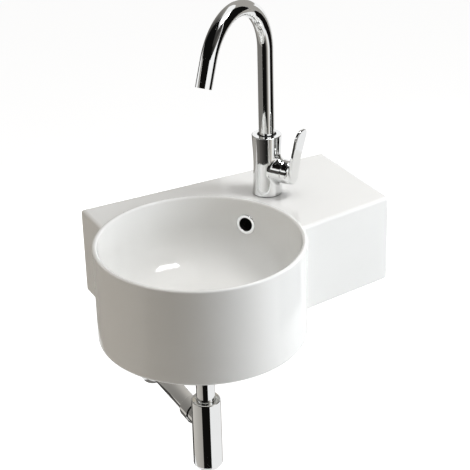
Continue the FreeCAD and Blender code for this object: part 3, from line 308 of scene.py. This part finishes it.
def overflow_depth():
    """Give a point in the overflow passage, straight behind the trim ring."""
    ring, plug = [sum(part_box(node), Vector()) / 2 for node in ("overflow_ring", "plug_cap")]
    outward = Vector((ring.x - plug.x, ring.y - plug.y, 0)).normalized()
    return ring + outward * PASSAGE_DEPTH


def glazed_china(tones):
    """Make the basin's finish."""
    # Vitreous china under a poured and fired white glaze: a hard wet gloss with a faint slow ripple,
    # and bare chalky clay where the piece stood in the kiln and where it meets the wall. The raw
    # overflow passage behind the trim ring is dull, and painted near-black as painted shade for its depth.
    material, tree, coords, shader = new_finish("glazed_vitreous_china")
    place = add(tree, "ShaderNodeSeparateXYZ", {0: coords})
    normal = add(tree, "ShaderNodeNewGeometry").outputs["True Normal"]
    facing = add(tree, "ShaderNodeSeparateXYZ", {0: normal})
    passage = add(tree, "ShaderNodeVectorMath", {0: coords, 1: overflow_depth()}, operation="DISTANCE")
    # Painted shade: a mask that darkens the china deep in the overflow passage behind the trim ring
    passage_shade_mask = between(tree, passage.outputs["Value"], 1, 0, PASSAGE_REACH, PASSAGE_REACH + PASSAGE_FADE)
    wall_face = between(tree, place.outputs["Y"], 0, 1, *WALL_SKIN)
    downward = between(tree, facing.outputs["Z"], 1, 0, *FOOT_FACING)
    low = between(tree, place.outputs["Z"], 1, 0, *FOOT_HEIGHTS)
    foot = add(tree, "ShaderNodeMath", {0: downward, 1: low}, operation="MULTIPLY").outputs[0]
    bare = add(tree, "ShaderNodeMath", {0: wall_face, 1: foot}, operation="MAXIMUM").outputs[0]
    glaze = shaded(tree, speckle(tree, coords, 70 * MM), tones.china, 0.97)
    clay = shaded(tree, speckle(tree, coords, 4 * MM, 6), tones.bisque, 0.85)
    outside = add(tree, "ShaderNodeMix", {0: bare, 6: glaze, 7: clay}, data_type="RGBA").outputs[2]
    # Painted shade for the deep overflow passage, dark and mottled, over its raw clay
    inside = shaded(tree, speckle(tree, coords, 3 * MM, 4), tones.passage, 0.5)
    tone = add(tree, "ShaderNodeMix", {0: passage_shade_mask, 6: outside, 7: inside}, data_type="RGBA").outputs[2]
    tree.links.new(tone, shader.inputs["Base Color"])
    gloss = between(tree, speckle(tree, coords, 45 * MM), *GLAZE_ROUGHNESS)
    dull = add(tree, "ShaderNodeMath", {0: bare, 1: passage_shade_mask}, operation="MAXIMUM").outputs[0]
    tree.links.new(between(tree, dull, gloss, CLAY_ROUGHNESS, 0, 1), shader.inputs["Roughness"])
    shader.inputs["IOR"].default_value = GLAZE_IOR
    ripple = speckle(tree, coords, 22 * MM, 1)
    grit = speckle(tree, coords, 0.9 * MM, 4)
    relief = add(tree, "ShaderNodeMix", {0: bare, 2: ripple, 3: grit}, data_type="FLOAT").outputs[0]
    raised(tree, shader, relief, CHINA_RELIEF)
    return material


def polished_chrome(tones):
    """Make the finish of the mixer, the waste and the trap."""
    # Chrome plated on buffed brass: a mirror with sharp black and white bands, a barely uneven skin
    # and faint cloudy patches where it was wiped.
    material, tree, coords, shader = new_finish("polished_chrome_plate")
    shader.inputs["Metallic"].default_value = 1
    tone = shaded(tree, speckle(tree, coords, 35 * MM), tones.chrome, 0.96)
    tree.links.new(tone, shader.inputs["Base Color"])
    wiped = between(tree, speckle(tree, coords, 18 * MM, 3), *CHROME_ROUGHNESS)
    tree.links.new(wiped, shader.inputs["Roughness"])
    raised(tree, shader, speckle(tree, coords, 30 * MM, 1), CHROME_RELIEF)
    return material


def machined_brass(tones):
    """Make the finish of the bare brass pieces."""
    # Free-cutting brass straight off the lathe: warm yellow with fine turning rings. The rings are
    # drawn further apart than real ones, so that they show.
    material, tree, coords, shader = new_finish("machined_brass")
    shader.inputs["Metallic"].default_value = 1
    tone = shaded(tree, speckle(tree, coords, 6 * MM, 4), tones.brass, 0.8)
    tree.links.new(tone, shader.inputs["Base Color"])
    rings = add(tree, "ShaderNodeTexWave", {"Vector": coords, "Scale": WAVE_LENGTH / RING_SPACING,
                                            "Distortion": 0.4}, bands_direction="Z").outputs["Fac"]
    tree.links.new(between(tree, rings, *BRASS_ROUGHNESS, 0, 1), shader.inputs["Roughness"])
    raised(tree, shader, rings, BRASS_RELIEF)
    return material


def zinc_plated_steel(tones):
    """Make the finish of the steel fixings."""
    # Mild steel with bright zinc plate: cool grey, satin, with small cloudy crystals.
    material, tree, coords, shader = new_finish("zinc_plated_steel")
    shader.inputs["Metallic"].default_value = 1
    crystals = add(tree, "ShaderNodeTexVoronoi", {"Vector": coords, "Scale": 1 / (3 * MM)})
    cloud = between(tree, crystals.outputs["Distance"], 0, 1, 0, 0.8)
    tree.links.new(shaded(tree, cloud, tones.zinc, 0.82), shader.inputs["Base Color"])
    satin = between(tree, speckle(tree, coords, 2 * MM, 4), *ZINC_ROUGHNESS)
    tree.links.new(satin, shader.inputs["Roughness"])
    raised(tree, shader, speckle(tree, coords, 0.7 * MM, 3), ZINC_RELIEF)
    return material


def moulded_rubber(tones):
    """Make the finish of the seals and gaskets."""
    # Black rubber from a blasted mould: dull, soft-edged highlights and a fine even grain with grey bloom.
    material, tree, coords, shader = new_finish("moulded_rubber")
    bloom = shaded(tree, speckle(tree, coords, 5 * MM, 4), tones.rubber, 0.7)
    tree.links.new(bloom, shader.inputs["Base Color"])
    satin = between(tree, speckle(tree, coords, 3 * MM, 3), *RUBBER_ROUGHNESS)
    tree.links.new(satin, shader.inputs["Roughness"])
    raised(tree, shader, speckle(tree, coords, 0.6 * MM, 3), RUBBER_RELIEF)
    return material


def moulded_plastic(name, tone):
    """Make the finish of the bushes, the cartridge and the flow straightener."""
    # Injection-moulded nylon or acetal: satin, slightly clouded, with soft highlights.
    material, tree, coords, shader = new_finish(name)
    tree.links.new(shaded(tree, speckle(tree, coords, 9 * MM, 3), tone, 0.9), shader.inputs["Base Color"])
    satin = between(tree, speckle(tree, coords, 4 * MM, 3), *PLASTIC_ROUGHNESS)
    tree.links.new(satin, shader.inputs["Roughness"])
    shader.inputs["IOR"].default_value = PLASTIC_IOR
    raised(tree, shader, speckle(tree, coords, 0.8 * MM, 3), PLASTIC_RELIEF)
    return material


def finish_nodes(nodes, material):
    """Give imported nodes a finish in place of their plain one."""
    for node in nodes:
        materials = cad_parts[node].data.materials
        materials.clear()
        materials.append(material)


def new_tree(name, sizes):
    """Start a geometry node tree with named inputs for its sizes and its finish."""
    tree = bpy.data.node_groups.new(name, "GeometryNodeTree")
    for size, kind in sizes:
        tree.interface.new_socket(size, in_out="INPUT", socket_type=kind)
    tree.interface.new_socket("Finish", in_out="INPUT", socket_type="NodeSocketMaterial")
    tree.interface.new_socket("Geometry", in_out="OUTPUT", socket_type="NodeSocketGeometry")
    return tree, tree.nodes.new("NodeGroupInput").outputs


def close_tree(tree, sizes, geometry):
    """End a tree: real geometry and its finish."""
    solid = add(tree, "GeometryNodeRealizeInstances", {"Geometry": geometry}).outputs["Geometry"]
    painted = add(tree, "GeometryNodeSetMaterial", {"Geometry": solid, "Material": sizes["Finish"]})
    add(tree, "NodeGroupOutput", {"Geometry": painted.outputs["Geometry"]})
    return tree


def thread_tree():
    """Wind a rounded ridge into a screw thread, upwards from the origin."""
    number = "NodeSocketFloat"
    tree, sizes = new_tree("screw_thread", [("Radius", number), ("Pitch", number), ("Length", number),
                                            ("Depth", number)])
    turns = add(tree, "ShaderNodeMath", {0: sizes["Length"], 1: sizes["Pitch"]}, operation="DIVIDE")
    helix = add(tree, "GeometryNodeCurveSpiral", {
        "Resolution": THREAD_STEPS, "Rotations": turns.outputs[0], "Start Radius": sizes["Radius"],
        "End Radius": sizes["Radius"], "Height": sizes["Length"]})
    ridge = add(tree, "GeometryNodeCurvePrimitiveCircle", {"Resolution": RIDGE_SIDES,
                                                           "Radius": sizes["Depth"]})
    wound = add(tree, "GeometryNodeCurveToMesh", {
        "Curve": helix.outputs["Curve"], "Profile Curve": ridge.outputs["Curve"], "Fill Caps": True})
    return close_tree(tree, sizes, wound.outputs["Mesh"])


def honeycomb_tree():
    """Lay six-sided cells side by side inside a circle."""
    number = "NodeSocketFloat"
    tree, sizes = new_tree("flow_honeycomb", [("Spacing", number), ("Wall", number), ("Depth", number),
                                              ("Radius", number), ("Rows", "NodeSocketInt")])
    spaces = add(tree, "ShaderNodeMath", {0: sizes["Rows"], 1: 1.0}, operation="SUBTRACT").outputs[0]
    width = add(tree, "ShaderNodeMath", {0: spaces, 1: sizes["Spacing"]}, operation="MULTIPLY").outputs[0]
    packing = math.sqrt(3) / 2
    close = add(tree, "ShaderNodeMath", {0: width, 1: packing}, operation="MULTIPLY").outputs[0]
    grid = add(tree, "GeometryNodeMeshGrid", {"Size X": close, "Size Y": width, "Vertices X": sizes["Rows"],
                                              "Vertices Y": sizes["Rows"]})
    index = add(tree, "GeometryNodeInputIndex").outputs[0]
    row = add(tree, "ShaderNodeMath", {0: index, 1: sizes["Rows"]}, operation="DIVIDE").outputs[0]
    whole = add(tree, "ShaderNodeMath", {0: row}, operation="FLOOR").outputs[0]
    odd = add(tree, "ShaderNodeMath", {0: whole, 1: 2.0}, operation="MODULO").outputs[0]
    half = add(tree, "ShaderNodeMath", {0: sizes["Spacing"], 1: 0.5}, operation="MULTIPLY").outputs[0]
    shift = add(tree, "ShaderNodeMath", {0: odd, 1: half}, operation="MULTIPLY").outputs[0]
    offset = add(tree, "ShaderNodeCombineXYZ", {"Y": shift}).outputs[0]
    laid = add(tree, "GeometryNodeSetPosition", {"Geometry": grid.outputs["Mesh"], "Offset": offset})
    reach = add(tree, "ShaderNodeVectorMath", {0: add(tree, "GeometryNodeInputPosition").outputs[0]},
                operation="LENGTH").outputs["Value"]
    outside = add(tree, "FunctionNodeCompare", {0: reach, 1: sizes["Radius"]}, operation="GREATER_THAN")
    kept = add(tree, "GeometryNodeDeleteGeometry", {"Geometry": laid.outputs["Geometry"],
                                                    "Selection": outside.outputs[0]})
    flat = add(tree, "ShaderNodeMath", {0: sizes["Spacing"], 1: sizes["Wall"]},
               operation="SUBTRACT").outputs[0]
    corner = add(tree, "ShaderNodeMath", {0: flat, 1: 1 / math.sqrt(3)}, operation="MULTIPLY").outputs[0]
    hexagon = add(tree, "GeometryNodeCurvePrimitiveCircle", {"Resolution": 6, "Radius": corner})
    section = add(tree, "GeometryNodeCurvePrimitiveQuadrilateral", {"Width": sizes["Wall"],
                                                                    "Height": sizes["Depth"]})
    cell = add(tree, "GeometryNodeCurveToMesh", {"Curve": hexagon.outputs["Curve"],
                                                 "Profile Curve": section.outputs["Curve"]})
    cells = add(tree, "GeometryNodeInstanceOnPoints", {"Points": kept.outputs["Geometry"],
                                                       "Instance": cell.outputs["Mesh"]})
    return close_tree(tree, sizes, cells.outputs["Instances"])


def grow(name, tree, sizes, placing, body):
    """Run a tree, keep its result as a plain mesh in its place, and let it ride on a body."""
    piece = bpy.data.objects.new(name, bpy.data.meshes.new(name + "_seed"))
    bpy.context.scene.collection.objects.link(piece)
    modifier = piece.modifiers.new(name, "NODES")
    modifier.node_group = tree
    for item in tree.interface.items_tree:
        if item.in_out == "INPUT":
            modifier[item.identifier] = sizes[item.name]
    graph = bpy.context.evaluated_depsgraph_get()
    grown = bpy.data.meshes.new_from_object(piece.evaluated_get(graph))
    piece.modifiers.clear()
    piece.data = grown
    grown.transform(placing)
    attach(piece, body)
    return piece


def finish_named(name):
    """Find a finish that an earlier operator made."""
    material = bpy.data.materials.get(name)
    if material is None:
        raise RuntimeError("this finish has to be made first: " + name)
    return material


class BASIN_OT_china(bpy.types.Operator):
    """Glaze the basin."""

    bl_idname = "basin.china"
    bl_label = "Glaze the Basin"

    def execute(self, context):
        finish_nodes(CHINA_NODES, glazed_china(context.scene.basin_finish))
        return {"FINISHED"}


class BASIN_OT_metal(bpy.types.Operator):
    """Plate and polish the metal pieces."""

    bl_idname = "basin.metal"
    bl_label = "Finish the Metal"

    def execute(self, context):
        tones = context.scene.basin_finish
        finish_nodes(CHROME_NODES, polished_chrome(tones))
        finish_nodes(BRASS_NODES, machined_brass(tones))
        finish_nodes(STEEL_NODES, zinc_plated_steel(tones))
        return {"FINISHED"}


class BASIN_OT_mouldings(bpy.types.Operator):
    """Finish the seals, bushes and other mouldings."""

    bl_idname = "basin.mouldings"
    bl_label = "Finish the Mouldings"

    def execute(self, context):
        tones = context.scene.basin_finish
        finish_nodes(RUBBER_NODES, moulded_rubber(tones))
        finish_nodes(NYLON_NODES, moulded_plastic("moulded_nylon", tones.nylon))
        finish_nodes(ACETAL_NODES, moulded_plastic("moulded_acetal", tones.acetal))
        return {"FINISHED"}


class BASIN_OT_threads(bpy.types.Operator):
    """Cut the threads that show between the nuts of the waste and under the tap's clamp."""

    bl_idname = "basin.threads"
    bl_label = "Cut the Threads"

    def execute(self, context):
        sizes = context.scene.basin_threads
        tree = thread_tree()
        low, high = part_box("tap_stud")
        for name, middle, radius, foot, top, pitch, depth, finish, slot in (
                ("waste_thread", sum(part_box("waste_body"), Vector()) / 2, sizes.waste_radius,
                 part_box("tail_union_nut")[1].z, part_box("waste_backnut")[0].z, sizes.waste_pitch,
                 sizes.waste_depth, "polished_chrome_plate", "chrome"),
                ("stud_thread", (low + high) / 2, (high.x - low.x) / 2, low.z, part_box("stud_nut")[0].z,
                 sizes.stud_pitch, sizes.stud_depth, "zinc_plated_steel", "steel")):
            grow(name, tree, {"Radius": radius - depth * RIDGE_SUNK_SHARE, "Pitch": pitch,
                              "Length": top - foot - 2 * depth, "Depth": depth,
                              "Finish": finish_named(finish)},
                 Matrix.Translation((middle.x, middle.y, foot + depth)), "basin_assembly")
        return {"FINISHED"}


class BASIN_OT_aerator(bpy.types.Operator):
    """Set the honeycomb into the spout's mouth."""

    bl_idname = "basin.aerator"
    bl_label = "Set the Honeycomb"

    def execute(self, context):
        sizes = context.scene.basin_aerator
        outward = Vector((math.cos(SPOUT_TURN) * math.sin(SPOUT_BEND),
                          math.sin(SPOUT_TURN) * math.sin(SPOUT_BEND), math.cos(SPOUT_BEND)))
        points = [vertex.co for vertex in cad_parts["aerator_core"].data.vertices]
        reach = max(point.dot(outward) for point in points)
        face = [point for point in points if reach - point.dot(outward) < sizes.wall]
        centre = sum(face, Vector()) / len(face)
        centre += outward * (reach - centre.dot(outward) + sizes.depth / 2)
        turn = outward.to_track_quat("Z", "Y").to_matrix().to_4x4()
        grow("flow_honeycomb", honeycomb_tree(), {
            "Spacing": sizes.spacing, "Wall": sizes.wall, "Depth": sizes.depth, "Radius": sizes.radius,
            "Rows": sizes.rows, "Finish": finish_named("moulded_nylon")},
             Matrix.Translation(centre) @ turn, "spout")
        return {"FINISHED"}


def card_light(studio):
    """Make the light of the studio's cards, as strong as each card says."""
    material = bpy.data.materials.new("card_light")
    material.use_nodes = True
    tree = material.node_tree
    tree.nodes.clear()
    shine = add(tree, "ShaderNodeAttribute", attribute_name="shine").outputs["Fac"]
    light = add(tree, "ShaderNodeEmission", {"Color": (*studio.card_tint, 1), "Strength": shine})
    add(tree, "ShaderNodeOutputMaterial", {"Surface": light.outputs["Emission"]})
    return material


def card(name, material, middle, first, last, shine_first, shine_last, profile):
    """Stand a curved card that only reflections see round an upright line.

    It runs between two turns from the camera's side, in degrees, and is shaded evenly from one
    brightness to another. Its profile gives distances from the line and heights.
    """
    corners, faces, shines = [], [], []
    rows = len(profile)
    for step in range(CARD_STEPS + 1):
        share = step / CARD_STEPS
        turn = math.pi + CAMERA_YAW - math.radians(first + (last - first) * share)
        shine = (math.sqrt(shine_first) * (1 - share) + math.sqrt(shine_last) * share) ** 2
        corners += [middle + Vector((near * math.sin(turn), near * math.cos(turn), height))
                    for near, height in profile]
        shines += [shine] * rows
        if step:
            start = (step - 1) * rows
            faces += [(at, at + 1, at + rows + 1, at + rows) for at in range(start, start + rows - 1)]
    mesh = bpy.data.meshes.new(name)
    mesh.from_pydata(corners, [], faces)
    mesh.attributes.new("shine", "FLOAT", "POINT").data.foreach_set("value", shines)
    mesh.materials.append(material)
    plane = bpy.data.objects.new(name, mesh)
    bpy.context.scene.collection.objects.link(plane)
    plane.visible_camera = False
    plane.visible_diffuse = False
    plane.visible_shadow = False
    plane.visible_transmission = False
    plane.visible_volume_scatter = False


def softbox(name, power, tint=(1, 1, 1), mirrored=True):
    """Hang a rectangular softbox, which shows in reflections or only gives light."""
    place, aim, across, width, height = SOFTBOXES[name]
    lamp = bpy.data.lights.new(f"{name}_softbox", "AREA")
    lamp.shape = "RECTANGLE"
    lamp.size, lamp.size_y = width, height
    lamp.energy = power
    lamp.color = tint
    holder = bpy.data.objects.new(f"{name}_softbox", lamp)
    bpy.context.scene.collection.objects.link(holder)
    holder.visible_glossy = mirrored
    back = (Vector(place) - Vector(aim)).normalized()
    up = back.cross(Vector(across)).normalized()
    axes = Matrix((up.cross(back), up, back)).transposed().to_4x4()
    holder.matrix_world = Matrix.Translation(place) @ axes


def seen_rays(tree):
    """Tell the rays that show the background, straight or in metal and glass."""
    path = add(tree, "ShaderNodeLightPath").outputs
    first = add(tree, "ShaderNodeMath", {0: path["Is Camera Ray"], 1: path["Is Glossy Ray"]},
                operation="MAXIMUM")
    return add(tree, "ShaderNodeMath", {0: first.outputs[0], 1: path["Is Transmission Ray"]},
               operation="MAXIMUM").outputs[0]


def pale_floor(studio):
    """Make the floor's paint: white with room for a faint shadow where it is seen, and duller in mirrors."""
    material = bpy.data.materials.new("pale_floor")
    material.use_nodes = True
    tree = material.node_tree
    tree.nodes.clear()
    paint = add(tree, "ShaderNodeBsdfDiffuse", {"Color": (*studio.floor_paint, 1)}).outputs[0]
    veil = add(tree, "ShaderNodeBsdfDiffuse", {"Color": (*studio.floor_veil, 1)}).outputs[0]
    white = add(tree, "ShaderNodeEmission", {"Color": (1, 1, 1, 1), "Strength": studio.floor_white})
    seen = add(tree, "ShaderNodeAddShader", {0: veil, 1: white.outputs[0]}).outputs[0]
    mirrored = add(tree, "ShaderNodeMixShader", {0: seen_rays(tree), 1: paint, 2: white.outputs[0]})
    straight = add(tree, "ShaderNodeLightPath").outputs["Is Camera Ray"]
    mixed = add(tree, "ShaderNodeMixShader", {0: straight, 1: mirrored.outputs[0], 2: seen})
    add(tree, "ShaderNodeOutputMaterial", {"Surface": mixed.outputs[0]})
    return material


def light_world(studio):
    """Fill the room with a weak warm light, and show white behind the basin."""
    world = bpy.data.worlds.new("studio")
    bpy.context.scene.world = world
    world.use_nodes = True
    tree = world.node_tree
    tree.nodes.clear()
    room = add(tree, "ShaderNodeBackground", {"Color": (*studio.ambient_tint, 1),
                                              "Strength": studio.ambient})
    white = add(tree, "ShaderNodeBackground", {"Color": (1, 1, 1, 1), "Strength": 1})
    mixed = add(tree, "ShaderNodeMixShader", {0: seen_rays(tree), 1: room.outputs[0], 2: white.outputs[0]})
    add(tree, "ShaderNodeOutputWorld", {"Surface": mixed.outputs[0]})


def set_camera():
    """Stand the camera where the picture was taken."""
    near = math.cos(CAMERA_PITCH)
    ahead = Vector((math.sin(CAMERA_YAW) * near, math.cos(CAMERA_YAW) * near, -math.sin(CAMERA_PITCH)))
    level = Vector((math.cos(CAMERA_YAW), -math.sin(CAMERA_YAW), 0))
    above = level.cross(ahead)
    right = level * math.cos(CAMERA_ROLL) + above * math.sin(CAMERA_ROLL)
    up = above * math.cos(CAMERA_ROLL) - level * math.sin(CAMERA_ROLL)
    lens = bpy.data.cameras.new("camera")
    lens.lens = CAMERA_LENS
    lens.sensor_width = CAMERA_SENSOR
    lens.clip_end = CAMERA_REACH
    camera = bpy.data.objects.new("camera", lens)
    bpy.context.scene.collection.objects.link(camera)
    axes = Matrix((right, up, -ahead)).transposed().to_4x4()
    camera.matrix_world = Matrix.Translation(CAMERA_PLACE) @ axes
    bpy.context.scene.camera = camera


class BASIN_OT_stage(bpy.types.Operator):
    """Set the floor, the light, the cards and the camera."""

    bl_idname = "basin.stage"
    bl_label = "Set the Studio"

    def execute(self, context):
        studio = context.scene.basin_studio
        context.scene.view_settings.view_transform = "Standard"
        floor_mesh = bpy.data.meshes.new("floor")
        floor_mesh.from_pydata([(across * FLOOR_REACH, along * FLOOR_REACH, -studio.floor_drop)
                                for across, along in ((-1, -1), (1, -1), (1, 1), (-1, 1))],
                               [], [(0, 1, 2, 3)])
        floor_mesh.materials.append(pale_floor(studio))
        floor = bpy.data.objects.new("floor", floor_mesh)
        context.scene.collection.objects.link(floor)
        light_world(studio)
        softbox("window", studio.window_power)
        softbox("side", studio.side_power, studio.side_tint, mirrored=False)
        softbox("top", studio.top_power, mirrored=False)
        softbox("left", studio.left_power, studio.left_tint, mirrored=False)
        softbox("back", studio.back_power, mirrored=False)
        light = card_light(studio)
        for name, shape in ROOM_CARDS.items():
            card(name, light, STUDIO_MIDDLE, *shape)
        for name, (node, *shape) in FLAGS.items():
            middle = sum(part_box(node), Vector()) / 2
            card(name, light, Vector((middle.x, middle.y, 0)), *shape)
        set_camera()
        return {"FINISHED"}


class BASIN_PT_panel(bpy.types.Panel):
    """List the basin's sizes, colours and steps."""

    bl_idname = "BASIN_PT_panel"
    bl_label = "Hand Basin"
    bl_space_type = "VIEW_3D"
    bl_region_type = "UI"
    bl_category = "Hand Basin"

    def draw(self, context):
        for group in SETTINGS:
            settings = getattr(context.scene, group)
            box = self.layout.box()
            for name in type(settings).__annotations__:
                box.prop(settings, name)
        for step in STEPS:
            self.layout.operator(step.bl_idname)


SETTINGS = {
    "basin_finish": FinishSettings,
    "basin_threads": ThreadSettings,
    "basin_aerator": AeratorSettings,
    "basin_studio": StudioSettings,
}
STEPS = (
    BASIN_OT_china, BASIN_OT_metal, BASIN_OT_mouldings, BASIN_OT_threads, BASIN_OT_aerator,
    BASIN_OT_stage,
)


def register():
    """Add the settings, the steps and the panel."""
    for kind in (*SETTINGS.values(), *STEPS, BASIN_PT_panel):
        bpy.utils.register_class(kind)
    for name, kind in SETTINGS.items():
        setattr(bpy.types.Scene, name, PointerProperty(type=kind))


def unregister():
    """Take the panel, the steps and the settings away."""
    for name in SETTINGS:
        delattr(bpy.types.Scene, name)
    for kind in reversed((*SETTINGS.values(), *STEPS, BASIN_PT_panel)):
        bpy.utils.unregister_class(kind)


def main():
    """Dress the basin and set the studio."""
    register()
    bpy.ops.basin.china()
    bpy.ops.basin.metal()
    bpy.ops.basin.mouldings()
    bpy.ops.basin.threads()
    bpy.ops.basin.aerator()
    bpy.ops.basin.stage()


if __name__ == "__main__":
    main()
